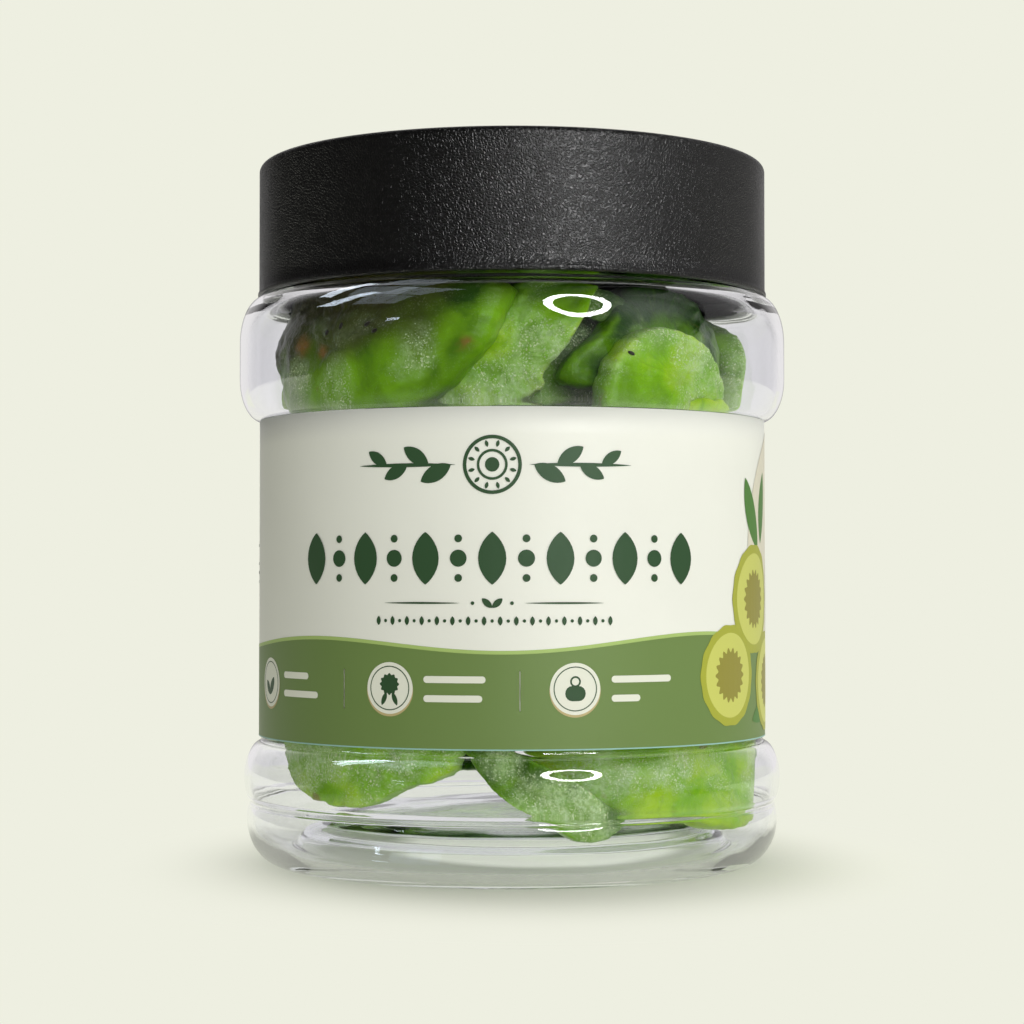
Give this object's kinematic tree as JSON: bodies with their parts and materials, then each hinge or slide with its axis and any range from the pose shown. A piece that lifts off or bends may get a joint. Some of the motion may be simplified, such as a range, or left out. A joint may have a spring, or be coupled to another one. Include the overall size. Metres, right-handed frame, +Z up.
{
  "type": "jar of dried kiwi slices",
  "caption": "Shut clear jar of dried green kiwi slices with a black screw lid and a wrap-around ivory and green label.",
  "frame": {"origin": "middle of the jar's foot, on the surface it stands on", "axes": "+Z up along the jar's axis to the lid; -Y is the front, where the middle of the label faces; +X is to the right seen from the front"},
  "size_m": [0.0914, 0.0914, 0.1163],
  "materials": {
    "clear_plastic": "clear gloss",
    "black_plastic": "fine leather grain",
    "label_film": "satin printed film",
    "dried_kiwi": "soft and sugared"
  },
  "bodies": {
    "root": {"jar": "clear_plastic", "lid": "black_plastic", "label": "label_film", "kiwi_heap": "dried_kiwi"}
  },
  "joints": []
}
